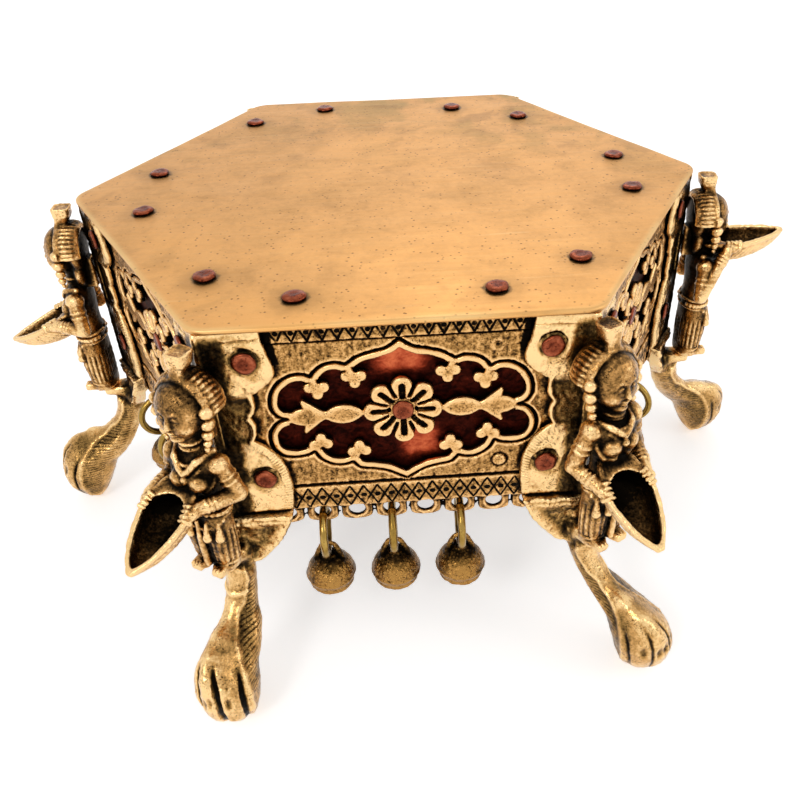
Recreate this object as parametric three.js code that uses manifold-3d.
// A low hexagonal puja chowki: a brass table top on six pierced side panels, six cast corner
// legs with paw feet, six lamp-bearing figures, and three ringed jingle bells on every side.
// Millimetres, +Z up. The origin is on the floor below the middle of the top.
// Corner angles run 0, 60, 120 degrees and so on; panel normals run 30, 90, 150 and so on.
import * as THREE from "three";
import { mergeVertices } from "three/addons/utils/BufferGeometryUtils.js";
import Module from "manifold-3d";

const wasm = await Module();
wasm.setup();

// Overall sizes
const sideCount = 6;
const topSide = 127; // one edge of the hexagonal top
const standHeight = 151; // floor to the top surface
const seatGap = 0.3; // running gap between pieces that touch
const cutOverrun = 1; // how far a cutting tool passes the face it cuts

// Table top
const plateThickness = 2.2;
const plateCornerRadius = 9;
const plateBevel = 0.7;
const plateCornerSteps = 2;
const restRadius = 104; // to the corners of the bare middle, where an idol or a tray rests
const restSides = 3;

// Copper rivets
const rivetHeadRadius = 4;
const rivetHeadHeight = 1.5;
const rivetShankRadius = 2;
const rivetSides = 6;
const rivetCrownShare = 0.55; // flat of the head's crown, as a share of its radius
const topRivetInset = 17.8; // from the edge of the top
const topRivetHalfSpacing = 32.4;

// Side panels
const panelInset = 4.2; // from the edge of the top to the panel's outer face
const panelThickness = 3;
const panelMitreGap = 0.4; // left at each end, so that neighbours stay apart
const flangeThickness = 2;
const flangeWidth = 24; // inward, under the top
const cartoucheDepth = 38.2; // centre of the pierced cartouche below the top surface
const cartoucheHalfWidth = 41.5;
const cartoucheHalfHeight = 26.2;
const rosetteRadius = 13.5;
const rosettePetals = 8;
const rosetteNotchShare = 0.72;
const armHalfHeight = 4;
const arrowHalfHeight = 6.6;
const fringeThickness = 2.2;
const fringeTopDepth = 78;
const scallopCount = 8;
const scallopPitch = 12.5;
const scallopValleyDrop = 6; // below the top of the fringe
const scallopTipDrop = 8.8;
const scallopSteps = 2;
const ringHoleDrop = 4;
const ringHoleRadius = 3; // to the flats of the hole
const ringHoleSides = 6;

// Copper liner behind the piercing
const linerThickness = 0.9;
const linerBottomDepth = 72;
const linerFlangeWidth = 16;

// Corner brackets
const wingThickness = 2.7;
const wingWidth = 22.8; // from the corner ridge to the inner edge of a wing
const wingHeight = 102; // from the top surface to the wing's lowest point
const wingRivetFromRidge = 14.2;
const upperRivetDepth = 13.5;
const lowerRivetDepth = 61.3;
const ledgeDepth = 78;
const ledgeStand = 2.6; // how far the apron stands proud of the wing
const apronEndDepth = 91;

// Heel shelf of the bracket
const shelfTopDepth = 90.8;
const shelfHeight = 8;
const shelfReach = 11.6; // out from the corner ridge
const shelfHalfWidth = 6.5;

// Legs and paws
const neckDepth = 98.5;
const neckReach = 0.9; // neck centre, out from the corner ridge
const neckHalfThickness = 5.6;
const neckHalfWidth = 5.4;
const legSides = 8;
const pawReach = 28; // paw centre, out from the neck centre
const pawHalfThickness = 12.2;
const pawHalfWidth = 11.5;
const pawSwirl = 11.4; // how far a paw leans sideways, anticlockwise from above
const soleHalfThickness = 6.6;
const soleHalfWidth = 5.6;

// Figures
const figureTopDepth = 4;
const figureReach = 9.8; // body axis, out from the corner ridge
const figureSides = 6;
const headHalfWidth = 7.8;
const headHalfDepth = 6.4;
const headHalfHeight = 9.6;
const headDepth = 22.5;
const headRings = 4;
const diademHalfWidth = 12;
const diademHalfHeight = 12;
const diademHalfDepth = 3.6;
const diademSetBack = 4.2;
const knobHalfWidth = 3.8;
const knobHeight = 9;
const knobSetBack = 6.4;
const knobSides = 4;
const shoulderHalfWidth = 10.6;
const bustHalfDepth = 6.4;
const hipHalfWidth = 9.4;
const hipHalfDepth = 5.6;
const armRadius = 2.7;
const armSides = 5;
const elbowOut = 13.4;
const lowElbowDepth = 56;
const raisedElbowDepth = 55;
const shoulderDepth = 43;
const footLength = 8;
const footHalfBreadth = 3.2;
const footHeight = 4;
const footApart = 3.8;
const lugHalfWidth = 3;
const lugTopDepth = 26;
const lugHeight = 14;

// Boat lamps
const lampHeelReach = 8.886; // of a level lamp's heel, out from the corner ridge
const lampHalfWidth = 9.4;
const lampBowlDepth = 11;
const lampWall = 1.7;
const lampTipReach = 44.886; // every lamp's tip, out from the corner ridge
const lampTipDepth = 64; // of a level lamp's tip, below the top surface

// Rings and jingle bells
const bellsPerSide = 3;
const firstBellScallop = 1;
const bellScallopStep = 2;
const ringRadius = 9.2; // to the middle of the wire
const ringWireRadius = 1.5;
const ringSteps = 10;
const ringWireSides = 5;
const ringHang = 6.1; // ring centre below the middle of the lip that carries it
const bellRadius = 9.7;
const bellDrop = 11.7; // bell centre below the middle of the ring's lowest wire
const bellSides = 8;
const bellHollowSides = 6;
const bellWall = 1.1;
const bellLoopRadius = 3.7;
const bellLoopHoleRadius = 2.3;
const bellLoopThickness = 1.8;
const bellLoopSides = 6;
const bellSlitWidth = 1.6;
const bellSlitLength = 11;

// Tables of shares

// How far each hand-set rivet of the top is off its place: outward and along, by side, as
// shares of its head's radius
const topRivetNudgeShares = [
  [[-0.25, -0.55], [-0.1, -0.225]],
  [[-0.375, -0.2], [1.05, -0.75]],
  [[0.425, -1.5], [0.2, -0.35]],
  [[-0.075, 0.475], [0.125, 0.475]],
  [[0.225, 0], [0.4, 0]],
  [[0.125, -0.425], [0, -0.3]],
];
// Upper right quarter of the cartouche, as shares of its half width and half height
const cartoucheShares = [
  [0, 1],
  [0.19, 0.86],
  [0.38, 0.76],
  [0.45, 0.7],
  [0.6, 0.71],
  [0.7, 0.58],
  [0.78, 0.6],
  [0.9, 0.55],
  [0.99, 0.36],
  [0.99, 0.16],
  [0.93, 0],
];
// Upper outline of the right arm: leaf, waist, arrow and tip, along the half width,
// with its height as a share of the leaf's or the arrow's half height
const armLeafShares = [
  [0.25, 0.2],
  [0.38, 0.8],
  [0.52, 0.85],
  [0.62, 0.35],
];
const armArrowShares = [
  [0.7, 0.6],
  [0.8, 1],
  [0.82, 0.5],
  [1.02, 0.35],
];
// Inner edge of a wing: distance from the ridge as a share of the wing's width, and
// depth as a share of its height
const wingShares = [
  [1, 0.16],
  [0.9, 0.21],
  [0.62, 0.268],
  [0.61, 0.32],
  [0.56, 0.355],
  [0.59, 0.4],
  [0.54, 0.45],
  [0.66, 0.475],
  [0.86, 0.525],
  [1, 0.6],
  [1, 0.7],
  [0.93, 0.775],
  [0.76, 0.835],
  [0.53, 0.9],
  [0.28, 0.965],
];
// Apron sections between the ledge and the neck: depth as a share of the way down,
// width as a share of the wing's width, and how much of the ledge's stand is left
const apronShares = [
  [0, 0.93, 1],
  [0.45, 0.74, 1.25],
  [1, 0.5, 1.4],
];
// Leg sections after the neck: reach and depth as shares of the way to the paw,
// half thickness and half width as shares of the way from the neck's to the paw's,
// sideways lean as a share, and the section's tilt in degrees
const legShares = [
  { reach: 0, drop: 0, thick: 0, wide: 0, lean: 0, tilt: 8 },
  { reach: 0.09, drop: 0.22, thick: 0.02, wide: 0.05, lean: 0.12, tilt: 24 },
  { reach: 0.29, drop: 0.44, thick: 0.1, wide: 0.16, lean: 0.34, tilt: 42 },
  { reach: 0.55, drop: 0.57, thick: 0.5, wide: 0.48, lean: 0.58, tilt: 46 },
  { reach: 0.82, drop: 0.72, thick: 0.92, wide: 0.86, lean: 0.79, tilt: 34 },
  { reach: 0.97, drop: 0.9, thick: 1, wide: 1, lean: 0.9, tilt: 24 },
  { reach: 1.03, drop: 1.09, thick: 0.75, wide: 0.9, lean: 0.97, tilt: 10 },
];
// Each paw's lean as a share of the swirl, by corner
const pawLeanShares = [1.4, 0.79, 1, 0.53, 0.79, 1];
const pawCentreDropShare = 0.74; // of the way from the neck to the floor
const soleLiftShare = 0.09; // of the same way, where the paw rounds into its sole
const soleRoundShare = 0.55; // of the way from the sole's size to the paw's

// Body sections from the sole to the chin: how far down the figure, how far forward of
// its axis in half depths of the bust, and its half depth and half width as shares of
// the hips' or the bust's
const skirtShares = [
  { down: 1, forward: -0.2, deep: 0.8, wide: 0.84 },
  { down: 0.85, forward: 0, deep: 1, wide: 1 },
  { down: 0.72, forward: 0, deep: 1, wide: 0.96 },
];
const torsoShares = [
  { down: 0.63, forward: -0.15, deep: 0.72, wide: 0.6 },
  { down: 0.52, forward: 0.1, deep: 1, wide: 0.82 },
  { down: 0.44, forward: 0, deep: 0.8, wide: 1 },
  { down: 0.38, forward: -0.1, deep: 0.5, wide: 0.42 },
  { down: 0.28, forward: -0.1, deep: 0.5, wide: 0.42 },
];
// Knob sections from its foot to its crown: height and half width as shares
const knobShares = [
  [0, 0.75],
  [0.5, 1],
  [1, 0.8],
];
// A lamp's section, from rim to rim under its keel, as shares of its half width and depth
const lampSectionShares = [
  [-1, 0],
  [-0.8, 0.62],
  [0, 1],
  [0.8, 0.62],
  [1, 0],
];
// A bell's outside from its lowest point to its shoulder, and the inside of its wall:
// distance from its axis and height, as shares of the outer or inner radius
const bellShares = [
  [0, -1],
  [0.6, -0.8],
  [1, -0.12],
  [0.88, 0.47],
];
const bellHollowShares = [
  [0, -1],
  [0.84, -0.4],
  [0.84, 0.4],
  [0, 0.86],
];
const bellLoopFootShare = 0.8; // half width of the loop's foot, as a share of its radius

// Lamp sections from the hands to the tip: place, half width and depth as shares
const lampShares = [
  [0, 0.45, 0.5],
  [0.14, 0.8, 0.85],
  [0.42, 1, 1],
  [0.76, 0.66, 0.75],
  [1, 0.08, 0.25],
];
// Each corner's lamp: its tip's depth as a share of a level lamp's, how steeply it droops and
// how far it is turned anticlockwise, in degrees
const lampPoseShares = [
  { tip: 0.469, droop: -6, turn: 0 },
  { tip: 1, droop: 26, turn: 0 },
  { tip: 0.984, droop: 25, turn: 0 },
  { tip: 1, droop: 26, turn: 0 },
  { tip: 1, droop: 26, turn: 0 },
  { tip: 1.047, droop: 31, turn: -8 },
];

const slice = (2 * Math.PI) / sideCount;
const topApothem = topSide * Math.cos(slice / 2);
const panelFace = topApothem - panelInset;
const panelBack = panelFace - panelThickness;
const panelTopDepth = plateThickness + seatGap;
const wingBack = panelFace + seatGap;
const wingFace = wingBack + wingThickness;
const ridgeRadius = wingFace / Math.cos(slice / 2);
const figureHeight = shelfTopDepth - seatGap - figureTopDepth;
const linerFace = panelBack - seatGap;
const linerBack = linerFace - linerThickness;
const linerTopDepth = panelTopDepth + flangeThickness + seatGap;
const lampTipRadius = ridgeRadius + lampTipReach;
const lampLength = lampTipReach - lampHeelReach;
const scallopValleyDepth = fringeTopDepth + scallopValleyDrop;
const scallopTipDepth = fringeTopDepth + scallopTipDrop;
const ringHoleDepth = fringeTopDepth + ringHoleDrop;
const lipDepth = (ringHoleDepth + ringHoleRadius + scallopTipDepth) / 2;
const fringeMiddle = panelFace - panelThickness / 2;

const brass = new THREE.MeshStandardMaterial({ color: 0xb98a45, roughness: 0.38, metalness: 1 });
const topBrass = new THREE.MeshStandardMaterial({ color: 0xcf9d58, roughness: 0.33, metalness: 1 });
const castBrass = new THREE.MeshStandardMaterial({ color: 0x8f6c38, roughness: 0.45, metalness: 1 });
const ringBrass = new THREE.MeshStandardMaterial({ color: 0xa58a3c, roughness: 0.3, metalness: 1 });
const bellBrass = new THREE.MeshStandardMaterial({ color: 0x7d5f2e, roughness: 0.5, metalness: 1 });
const copper = new THREE.MeshStandardMaterial({ color: 0x8e4632, roughness: 0.4, metalness: 1 });

// A closed geometry as a solid that can be joined and cut
function solid(geometry) {
  const bare = new THREE.BufferGeometry();
  bare.setAttribute("position", geometry.getAttribute("position").clone());
  if (geometry.index) bare.setIndex(geometry.index.clone());
  const merged = mergeVertices(bare, 1e-4);
  return new wasm.Manifold(
    new wasm.Mesh({
      numProp: 3,
      vertProperties: new Float32Array(merged.attributes.position.array),
      triVerts: new Uint32Array(merged.index.array),
    }),
  );
}

// A solid as a geometry for a mesh
function geometryOf(made) {
  const data = made.getMesh();
  const geometry = new THREE.BufferGeometry();
  geometry.setAttribute("position", new THREE.BufferAttribute(data.vertProperties, 3));
  geometry.setIndex(new THREE.BufferAttribute(data.triVerts, 1));
  geometry.computeVertexNormals();
  return geometry;
}

function join(pieces) {
  return pieces.reduce((whole, piece) => whole.add(piece));
}

function shapeOf(points) {
  return new THREE.Shape(points.map(([x, y]) => new THREE.Vector2(x, y)));
}

// A height, from its depth below the top surface
const at = (depth) => standHeight - depth;

// Frames for drawings: where a drawing's x, y and thickness point in the piece's own frame
const upright = new THREE.Matrix4().makeBasis(
  new THREE.Vector3(0, 1, 0),
  new THREE.Vector3(0, 0, 1),
  new THREE.Vector3(1, 0, 0),
);
const sideways = new THREE.Matrix4().makeBasis(
  new THREE.Vector3(1, 0, 0),
  new THREE.Vector3(0, 0, 1),
  new THREE.Vector3(0, -1, 0),
);

// A flat outline given a thickness, from the height start along its frame's third axis
function slab(points, start, thickness, frame = new THREE.Matrix4()) {
  const geometry = new THREE.ExtrudeGeometry(shapeOf(points), {
    depth: thickness,
    bevelEnabled: false,
  });
  geometry.translate(0, 0, start);
  geometry.applyMatrix4(frame);
  return solid(geometry);
}

function polygon(sides, radius, centre = [0, 0], turn = 0) {
  const points = [];
  for (let i = 0; i < sides; i++) {
    const angle = turn + (2 * Math.PI * i) / sides;
    points.push([centre[0] + radius * Math.cos(angle), centre[1] + radius * Math.sin(angle)]);
  }
  return points;
}

function hexagon(apothem) {
  return polygon(sideCount, apothem / Math.cos(slice / 2));
}

// A closed skin over rings of equally many points, capped at both ends
function loft(rings) {
  const count = rings[0].length;
  const points = rings.flat();
  const faces = [];
  for (let r = 0; r + 1 < rings.length; r++) {
    for (let i = 0; i < count; i++) {
      const a = r * count + i;
      const b = r * count + ((i + 1) % count);
      faces.push(a, b, b + count, a, b + count, a + count);
    }
  }
  const last = (rings.length - 1) * count;
  for (let i = 1; i + 1 < count; i++) {
    faces.push(0, i + 1, i);
    faces.push(last, last + i, last + i + 1);
  }
  const geometry = new THREE.BufferGeometry();
  geometry.setAttribute("position", new THREE.Float32BufferAttribute(points.flat(), 3));
  geometry.setIndex(faces);
  const made = solid(geometry);
  return made.volume() < 0 ? loft(rings.map((ring) => [...ring].reverse())) : made;
}

// An oval ring of points round an upright axis
function oval(x, z, halfX, halfY, sides = figureSides) {
  return polygon(sides, 1, [0, 0], Math.PI / sides).map(([c, s]) => [x + halfX * c, halfY * s, z]);
}

// A round bar through the given points, mitred where it bends
function bar(points, radius, sides) {
  const directions = points.slice(1).map((point, i) => point.clone().sub(points[i]).normalize());
  const rings = points.map((point, i) => {
    const before = directions[Math.max(i - 1, 0)];
    const after = directions[Math.min(i, directions.length - 1)];
    const along = before.clone().add(after).normalize();
    const across = new THREE.Vector3(0, 1, 0).cross(along).normalize();
    const over = along.clone().cross(across);
    return polygon(sides, radius).map(([c, s]) =>
      point.clone().addScaledVector(across, c).addScaledVector(over, s).toArray(),
    );
  });
  return loft(rings);
}

// A rivet along +Z: its shank from the height start, its domed head from the height seat
function rivet(start, seat) {
  const ring = (radius, z) => polygon(rivetSides, radius).map(([x, y]) => [x, y, z]);
  return loft([
    ring(rivetShankRadius, start),
    ring(rivetShankRadius, seat),
    ring(rivetHeadRadius, seat),
    ring(rivetHeadRadius * rivetCrownShare, seat + rivetHeadHeight),
  ]);
}

function rivetHole(start, thickness) {
  const corner = (rivetShankRadius + seatGap) / Math.cos(Math.PI / rivetSides);
  const outline = polygon(rivetSides, corner);
  return slab(outline, start - cutOverrun, thickness + 2 * cutOverrun);
}

// Turns a solid made along +Z so that it points along +X
function turnedOut(made) {
  return made.rotate([0, 90, 0]);
}

// Where a side's two rivets stand in the top, in the side's own frame: x outward, y along
const topRivetPlaces = (k) =>
  topRivetNudgeShares[k].map(([outward, along], i) => [
    topApothem - topRivetInset + outward * rivetHeadRadius,
    (i ? 1 : -1) * topRivetHalfSpacing + along * rivetHeadRadius,
  ]);
// Where the bracket rivets stand: y along the side, then depth
const ridgeAlong = wingFace * Math.tan(slice / 2);
const wingRivetPlaces = [-1, 1].flatMap((hand) =>
  [upperRivetDepth, lowerRivetDepth].map((depth) => [hand * (ridgeAlong - wingRivetFromRidge), depth]),
);

// A piece made in a side's own frame, turned to side k
function onSide(piece, k) {
  return piece.rotate([0, 0, THREE.MathUtils.radToDeg(slice * (k + 0.5))]);
}

// The table top: a hexagonal plate with rounded corners, a bevelled edge and rivet holes
function makeTopPlate() {
  const shape = new THREE.Shape();
  const radius = plateCornerRadius - plateBevel;
  hexagon(topApothem - plateCornerRadius).forEach(([x, y], k) => {
    for (let i = 0; i <= plateCornerSteps; i++) {
      const angle = slice * (k - 0.5 + i / plateCornerSteps);
      const px = x + radius * Math.cos(angle);
      const py = y + radius * Math.sin(angle);
      if (k === 0 && i === 0) shape.moveTo(px, py);
      else shape.lineTo(px, py);
    }
  });
  const geometry = new THREE.ExtrudeGeometry(shape, {
    depth: plateThickness - 2 * plateBevel,
    bevelThickness: plateBevel,
    bevelSize: plateBevel,
    bevelSegments: 1,
  });
  geometry.translate(0, 0, standHeight - plateThickness + plateBevel);
  let plate = solid(geometry);
  const hole = rivetHole(standHeight - plateThickness, plateThickness);
  for (let k = 0; k < sideCount; k++) {
    for (const [x, y] of topRivetPlaces(k)) {
      plate = plate.subtract(onSide(hole.translate([x, y, 0]), k));
    }
  }
  // The middle goes in as a slab of its own, so that its face stays whole between the rivets
  const outline = polygon(restSides, restRadius);
  const under = standHeight - plateThickness;
  const cutter = slab(outline, under - cutOverrun, plateThickness + 2 * cutOverrun);
  return plate.subtract(cutter).add(slab(outline, under, plateThickness));
}

// The pierced ornament of a panel, drawn flat with the cartouche's centre at the origin
function mirrored(points, flipX, flipY) {
  return points.map(([x, y]) => [flipX ? -x : x, flipY ? -y : y]);
}

function cartoucheOutline() {
  const quarter = cartoucheShares.map(([x, y]) => [x * cartoucheHalfWidth, y * cartoucheHalfHeight]);
  const inner = quarter.slice(1, -1);
  return [
    ...quarter,
    ...mirrored(inner, false, true).reverse(),
    ...mirrored([quarter[0]], false, true),
    ...mirrored(inner, true, true),
    ...mirrored([quarter[quarter.length - 1]], true, false),
    ...mirrored(inner, true, false).reverse(),
  ].reverse();
}

function rosetteOutline() {
  const points = [];
  const step = Math.PI / rosettePetals;
  for (let i = 0; i < rosettePetals; i++) {
    const middle = 2 * i * step;
    for (const turn of [-0.5, 0.5]) {
      const angle = middle + turn * step;
      points.push([rosetteRadius * Math.cos(angle), rosetteRadius * Math.sin(angle)]);
    }
    const notch = middle + step;
    const radius = rosetteRadius * rosetteNotchShare;
    points.push([radius * Math.cos(notch), radius * Math.sin(notch)]);
  }
  return points;
}

function armOutline() {
  const upper = [
    ...armLeafShares.map(([x, y]) => [x * cartoucheHalfWidth, y * armHalfHeight]),
    ...armArrowShares.map(([x, y]) => [x * cartoucheHalfWidth, y * arrowHalfHeight]),
  ];
  return [...upper, ...mirrored(upper, false, true).reverse()];
}

function scallopOutline(endAlong) {
  const points = [[endAlong, -fringeTopDepth + cutOverrun], [-endAlong, -fringeTopDepth + cutOverrun]];
  const half = (scallopCount * scallopPitch) / 2;
  points.push([-endAlong, -scallopValleyDepth]);
  for (let k = 0; k < scallopCount; k++) {
    for (let i = k ? 1 : 0; i <= scallopSteps; i++) {
      const turn = (Math.PI * i) / scallopSteps;
      const drop = (scallopTipDepth - scallopValleyDepth) * Math.sin(turn);
      points.push([-half + scallopPitch * (k + i / scallopSteps), -scallopValleyDepth - drop]);
    }
  }
  points.push([endAlong, -scallopValleyDepth]);
  return points;
}

function scallopAlong(index) {
  return (index - (scallopCount - 1) / 2) * scallopPitch;
}

// Side panel k, drawn with x along the side and y up from the top surface
function makeSidePanel(k) {
  const endAlong = panelBack * Math.tan(slice / 2) - panelMitreGap;
  const plateOutline = [
    [-endAlong, -fringeTopDepth],
    [endAlong, -fringeTopDepth],
    [endAlong, -panelTopDepth],
    [-endAlong, -panelTopDepth],
  ];
  let face = slab(plateOutline, panelBack, panelThickness);
  const centred = (points) => points.map(([x, y]) => [x, y - cartoucheDepth]);
  face = face.subtract(
    slab(centred(cartoucheOutline()), panelBack - cutOverrun, panelThickness + 2 * cutOverrun),
  );
  const ornament = [slab(centred(rosetteOutline()), panelBack, panelThickness)];
  for (const flipX of [false, true]) {
    ornament.push(slab(centred(mirrored(armOutline(), flipX, false)), panelBack, panelThickness));
  }
  const fringeBack = fringeMiddle - fringeThickness / 2;
  let fringe = slab(scallopOutline(endAlong), fringeBack, fringeThickness);
  const holeCorner = ringHoleRadius / Math.cos(Math.PI / ringHoleSides);
  for (let i = 0; i < scallopCount; i++) {
    const centre = [scallopAlong(i), -ringHoleDepth];
    const outline = polygon(ringHoleSides, holeCorner, centre);
    fringe = fringe.subtract(slab(outline, fringeBack - cutOverrun, fringeThickness + 2 * cutOverrun));
  }
  let panel = join([face, ...ornament, fringe]);
  for (const [x, y] of [...wingRivetPlaces, [0, cartoucheDepth]]) {
    panel = panel.subtract(rivetHole(panelBack, panelThickness).translate([x, -y, 0]));
  }
  panel = panel.transform(upright.elements).translate([0, 0, standHeight]);
  return panel.add(makeFlange(k));
}

// The panel's inward flange, under the top
function makeFlange(k) {
  const inner = panelFace - flangeWidth;
  const endAt = (x) => x * Math.tan(slice / 2) - panelMitreGap;
  const outer = panelBack + panelThickness / 2;
  const outline = [
    [inner, -endAt(inner)],
    [outer, -endAt(panelBack)],
    [outer, endAt(panelBack)],
    [inner, endAt(inner)],
  ];
  const bottom = standHeight - panelTopDepth - flangeThickness;
  let flange = slab(outline, bottom, flangeThickness);
  for (const [x, y] of topRivetPlaces(k)) {
    flange = flange.subtract(rivetHole(bottom, flangeThickness).translate([x, y, 0]));
  }
  return flange;
}

// The copper liner: one bent strip with its top turned in, and every rivet on it
function makeLiner() {
  const bottom = standHeight - linerBottomDepth;
  const top = standHeight - linerTopDepth;
  const ring = (outer, inner, start, thickness) =>
    slab(hexagon(outer), start, thickness).subtract(
      slab(hexagon(inner), start - cutOverrun, thickness + 2 * cutOverrun),
    );
  const strip = ring(linerFace, linerBack, bottom, top - bottom);
  const turnedIn = ring(linerFace, linerFace - linerFlangeWidth, top - linerThickness, linerThickness);
  const topRivet = rivet(top - linerThickness / 2, standHeight + seatGap);
  const wingRivet = turnedOut(rivet(linerBack + linerThickness / 2, wingFace + seatGap));
  const boss = turnedOut(rivet(linerBack + linerThickness / 2, panelFace + seatGap));
  const rivets = [];
  for (let k = 0; k < sideCount; k++) {
    for (const [x, y] of topRivetPlaces(k)) rivets.push(onSide(topRivet.translate([x, y, 0]), k));
    for (const [y, depth] of wingRivetPlaces) {
      rivets.push(onSide(wingRivet.translate([0, y, at(depth)]), k));
    }
    rivets.push(onSide(boss.translate([0, 0, at(cartoucheDepth)]), k));
  }
  return join([strip, turnedIn, ...rivets]);
}

// One wing of a corner bracket, drawn on the side that lies anticlockwise of the corner
function makeWing() {
  const inner = wingShares.map(([across, down]) => [
    -ridgeAlong + across * wingWidth,
    -down * wingHeight,
  ]);
  const outline = [
    [-ridgeAlong, -panelTopDepth],
    [-ridgeAlong, -wingHeight],
    ...inner.reverse(),
    [-ridgeAlong + wingWidth, -panelTopDepth],
  ];
  let wing = slab(outline, wingBack, wingThickness);
  for (const [x, y] of wingRivetPlaces) {
    wing = wing.subtract(rivetHole(wingBack, wingThickness).translate([x, -y, 0]));
  }
  wing = wing.transform(upright.elements).translate([0, 0, standHeight]);
  return wing.rotate([0, 0, THREE.MathUtils.radToDeg(slice / 2)]);
}

// A place on a wing in the corner's frame: out from the wing's back, along from the ridge
function onWing(out, fromRidge) {
  const along = out * Math.tan(slice / 2) - fromRidge;
  return [
    out * Math.cos(slice / 2) + along * Math.sin(slice / 2),
    out * Math.sin(slice / 2) - along * Math.cos(slice / 2),
  ];
}

// The apron below the ledge, the neck, the leg and the paw, in one skin of eight lines
function makeLeg(pawLean) {
  const rings = apronShares.map(([down, across, stand]) => {
    const z = standHeight - ledgeDepth - down * (apronEndDepth - ledgeDepth);
    const face = wingFace + stand * ledgeStand;
    const back = wingBack;
    const end = across * wingWidth;
    const ridge = [face / Math.cos(slice / 2), 0, z];
    const crease = [back / Math.cos(slice / 2), 0, z];
    const half = [
      [...onWing(face, end / 2), z],
      [...onWing(face, end), z],
      [...onWing(back, end), z],
    ];
    const flip = ([x, y, h]) => [x, -y, h];
    return [ridge, ...half, crease, ...half.map(flip).reverse()];
  });
  const neckX = ridgeRadius + neckReach;
  const neckZ = standHeight - neckDepth;
  const pawDrop = neckZ * pawCentreDropShare;
  const between = (low, high, share) => low + (high - low) * share;
  for (const s of legShares) {
    const x = neckX + s.reach * pawReach;
    const z = neckZ - s.drop * pawDrop;
    const halfThick = between(neckHalfThickness, pawHalfThickness, s.thick);
    const halfWide = between(neckHalfWidth, pawHalfWidth, s.wide);
    const tilt = THREE.MathUtils.degToRad(s.tilt);
    const ring = polygon(legSides, 1).map(([c, d]) => [
      x + halfThick * c * Math.cos(tilt),
      s.lean * pawLean + halfWide * d,
      z + halfThick * c * Math.sin(tilt),
    ]);
    rings.push(ring);
  }
  const sole = (z, share) => {
    const halfThick = between(soleHalfThickness, pawHalfThickness, share);
    const halfWide = between(soleHalfWidth, pawHalfWidth, share);
    return polygon(legSides, 1).map(([c, d]) => [
      neckX + pawReach + halfThick * c,
      pawLean + halfWide * d,
      z,
    ]);
  };
  rings.push(sole(neckZ * soleLiftShare, soleRoundShare), sole(0, 0));
  return loft(rings);
}

// The shelf under a figure's heels
function makeShelf() {
  const inner = ridgeRadius - wingThickness;
  const out = ridgeRadius + shelfReach;
  const top = at(shelfTopDepth);
  const outline = [
    [inner, top],
    [inner, top - shelfHeight],
    [out - shelfReach / 3, top - shelfHeight],
    [out, top - shelfHeight / 3],
    [out, top],
  ];
  return slab(outline, -shelfHalfWidth, 2 * shelfHalfWidth, sideways);
}

function makeCornerLeg(pawLean) {
  const wing = makeWing();
  return join([wing, wing.mirror([0, 1, 0]), makeLeg(pawLean), makeShelf()]);
}

function makeBody() {
  const section = (halfDepth, halfWidth) => (share) =>
    oval(
      ridgeRadius + figureReach + share.forward * bustHalfDepth,
      at(figureTopDepth + share.down * figureHeight),
      share.deep * halfDepth,
      share.wide * halfWidth,
    );
  return loft([
    ...skirtShares.map(section(hipHalfDepth, hipHalfWidth)),
    ...torsoShares.map(section(bustHalfDepth, shoulderHalfWidth)),
  ]);
}

function makeHead() {
  const x = ridgeRadius + figureReach;
  const ball = (halfX, halfY, halfZ, centreX) => {
    const geometry = new THREE.SphereGeometry(1, figureSides, headRings);
    geometry.rotateX(Math.PI / 2);
    geometry.scale(halfX, halfY, halfZ);
    geometry.translate(centreX, 0, at(headDepth));
    return solid(geometry);
  };
  const knobFoot = at(figureTopDepth + knobHeight);
  const knob = knobShares.map(([up, wide]) => {
    const half = wide * knobHalfWidth;
    return oval(x - knobSetBack, knobFoot + up * knobHeight, half, half, knobSides);
  });
  return join([
    ball(headHalfDepth, headHalfWidth, headHalfHeight, x),
    ball(diademHalfDepth, diademHalfWidth, diademHalfHeight, x - diademSetBack),
    loft(knob),
  ]);
}

function makeFoot(hand) {
  const heel = ridgeRadius + figureReach;
  const toe = heel + footLength;
  const y = hand * footApart;
  const outline = [
    [heel, y - footHalfBreadth],
    [toe, y - footHalfBreadth / 2],
    [toe, y + footHalfBreadth / 2],
    [heel, y + footHalfBreadth],
  ];
  return slab(outline, at(figureTopDepth + figureHeight), footHeight);
}

// The lug that the figure is held by, between its nape and the bracket's ridge
function makeLug() {
  const back = ridgeRadius + seatGap;
  const front = ridgeRadius + figureReach;
  const outline = [
    [back, at(lugTopDepth)],
    [back, at(lugTopDepth + lugHeight)],
    [front, at(lugTopDepth + lugHeight)],
    [front, at(lugTopDepth)],
  ];
  return slab(outline, -lugHalfWidth, 2 * lugHalfWidth, sideways);
}

// A place along a lamp's middle line, from the hands to the tip, and sideways from it
function onLamp(pose, along, sideways, up) {
  const tilt = THREE.MathUtils.degToRad(pose.droop);
  const turn = THREE.MathUtils.degToRad(pose.turn);
  const tipKeel = lampShares[lampShares.length - 1][2] * lampBowlDepth;
  const back = lampLength - along;
  const overhang = Math.max(0, -tipKeel * Math.sin(tilt));
  const flat = back * Math.cos(tilt) - up * Math.sin(tilt) + overhang;
  return new THREE.Vector3(
    lampTipRadius - flat * Math.cos(turn) - sideways * Math.sin(turn),
    -flat * Math.sin(turn) + sideways * Math.cos(turn),
    at(pose.tip * lampTipDepth) + back * Math.sin(tilt) + up * Math.cos(tilt),
  );
}

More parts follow.
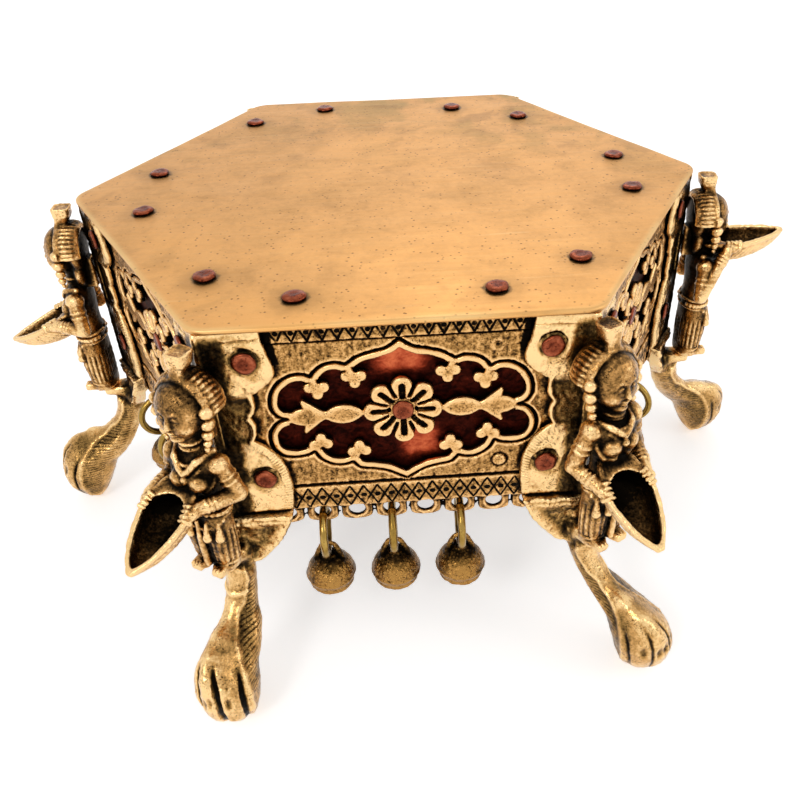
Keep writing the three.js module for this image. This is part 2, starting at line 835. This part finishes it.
function makeLamp(pose) {
  const section = (along, halfWidth, depth, top) =>
    lampSectionShares.map(([across, down]) =>
      onLamp(pose, along, across * halfWidth, top - down * depth).toArray(),
    );
  const outer = lampShares.map(([along, wide, deep]) =>
    section(along * lampLength, wide * lampHalfWidth, deep * lampBowlDepth, 0),
  );
  const hollow = lampShares.slice(0, -1).map(([along, wide, deep]) =>
    section(
      lampWall + along * (lampLength - lampWall),
      wide * lampHalfWidth - lampWall,
      deep * lampBowlDepth - lampWall + cutOverrun,
      cutOverrun,
    ),
  );
  return loft(outer).subtract(loft(hollow));
}

function makeArm(hand, pose) {
  const [along, wide] = lampShares[1];
  const outside = wide * lampHalfWidth + armRadius / 4;
  const raised = pose.droop < 0;
  const elbowDepth = raised ? raisedElbowDepth : lowElbowDepth;
  const x = ridgeRadius + figureReach;
  const shoulder = [x, hand * (shoulderHalfWidth - armRadius / 2), at(shoulderDepth)];
  const elbow = [x - armRadius / 2, hand * elbowOut, at(elbowDepth)];
  const wrist = onLamp(pose, along * lampLength, hand * outside, -armRadius);
  return bar([new THREE.Vector3(...shoulder), new THREE.Vector3(...elbow), wrist], armRadius, armSides);
}

function makeFigure(pose) {
  return join([
    makeBody(),
    makeHead(),
    makeFoot(-1),
    makeFoot(1),
    makeLug(),
    makeLamp(pose),
    makeArm(-1, pose),
    makeArm(1, pose),
  ]);
}

// A ring in the plane square to its panel, centred on the origin, with a corner at its top
function makeRing() {
  const geometry = new THREE.TorusGeometry(ringRadius, ringWireRadius, ringWireSides, ringSteps);
  geometry.rotateZ(Math.PI / ringSteps);
  geometry.rotateX(Math.PI / 2);
  return solid(geometry);
}

// A jingle bell: a hollow ball with a slit, centred on the origin, with its loop above
function makeBell() {
  const turned = (points, sides) => {
    const profile = points.map(([x, y]) => new THREE.Vector2(x, y));
    const geometry = new THREE.LatheGeometry(profile, sides);
    geometry.rotateX(Math.PI / 2);
    return solid(geometry);
  };
  const scaled = (shares, size) => shares.map(([x, y]) => [x * size, y * size]);
  const collar = bellDrop - bellLoopHoleRadius - seatGap;
  const loopFoot = bellLoopRadius * bellLoopFootShare;
  const ball = [...scaled(bellShares, bellRadius), [loopFoot, collar], [0, collar]];
  const hollow = turned(scaled(bellHollowShares, bellRadius - bellWall), bellHollowSides);
  const halfLength = bellSlitLength / 2;
  const halfWidth = bellSlitWidth / 2;
  const slitOutline = [
    [-halfLength, -halfWidth],
    [halfLength, -halfWidth],
    [halfLength, halfWidth],
    [-halfLength, halfWidth],
  ];
  const slit = slab(slitOutline, -bellRadius - cutOverrun, bellRadius);
  const loopTop = polygon(bellLoopSides, bellLoopRadius, [0, bellDrop]);
  const loopOutline = [
    [-loopFoot, collar - bellWall],
    [loopFoot, collar - bellWall],
    ...loopTop.slice(0, bellLoopSides / 2 + 1),
  ];
  const arch = slab(loopOutline, -bellLoopThickness / 2, bellLoopThickness, upright);
  const eyeOutline = polygon(bellLoopSides, bellLoopHoleRadius, [0, bellDrop]);
  const eye = slab(eyeOutline, -bellLoopThickness, 2 * bellLoopThickness, upright);
  return turned(ball, bellSides).subtract(hollow).subtract(slit).add(arch.subtract(eye));
}

function named(name, made, material) {
  const mesh = new THREE.Mesh(geometryOf(made), material);
  mesh.name = name;
  return mesh;
}

const chowki = new THREE.Group();
chowki.add(named("top_plate", makeTopPlate(), topBrass));
chowki.add(named("copper_liner", makeLiner(), copper));

const cornerNames = ["right", "back_right", "back_left", "left", "front_left", "front_right"];
const sideNames = ["right_back", "back", "left_back", "left_front", "front", "right_front"];

cornerNames.forEach((name, k) => {
  const corner = new THREE.Group();
  corner.rotation.z = slice * k;
  corner.add(named(`corner_leg_${name}`, makeCornerLeg(pawLeanShares[k] * pawSwirl), castBrass));
  corner.add(named(`lamp_figure_${name}`, makeFigure(lampPoseShares[k]), castBrass));
  chowki.add(corner);
});

const ringSolid = makeRing();
const bellSolid = makeBell();
sideNames.forEach((name, k) => {
  const side = new THREE.Group();
  side.rotation.z = slice * (k + 0.5);
  side.add(named(`side_panel_${name}`, makeSidePanel(k), brass));
  for (let b = 0; b < bellsPerSide; b++) {
    const hanging = new THREE.Group();
    const along = scallopAlong(firstBellScallop + b * bellScallopStep);
    hanging.position.set(fringeMiddle, along, at(lipDepth + ringHang));
    const ring = named(`ring_${name}_${b + 1}`, ringSolid, ringBrass);
    const bell = named(`bell_${name}_${b + 1}`, bellSolid, bellBrass);
    bell.position.z = -ringRadius - bellDrop;
    hanging.add(ring, bell);
    side.add(hanging);
  }
  chowki.add(side);
});

export default chowki;
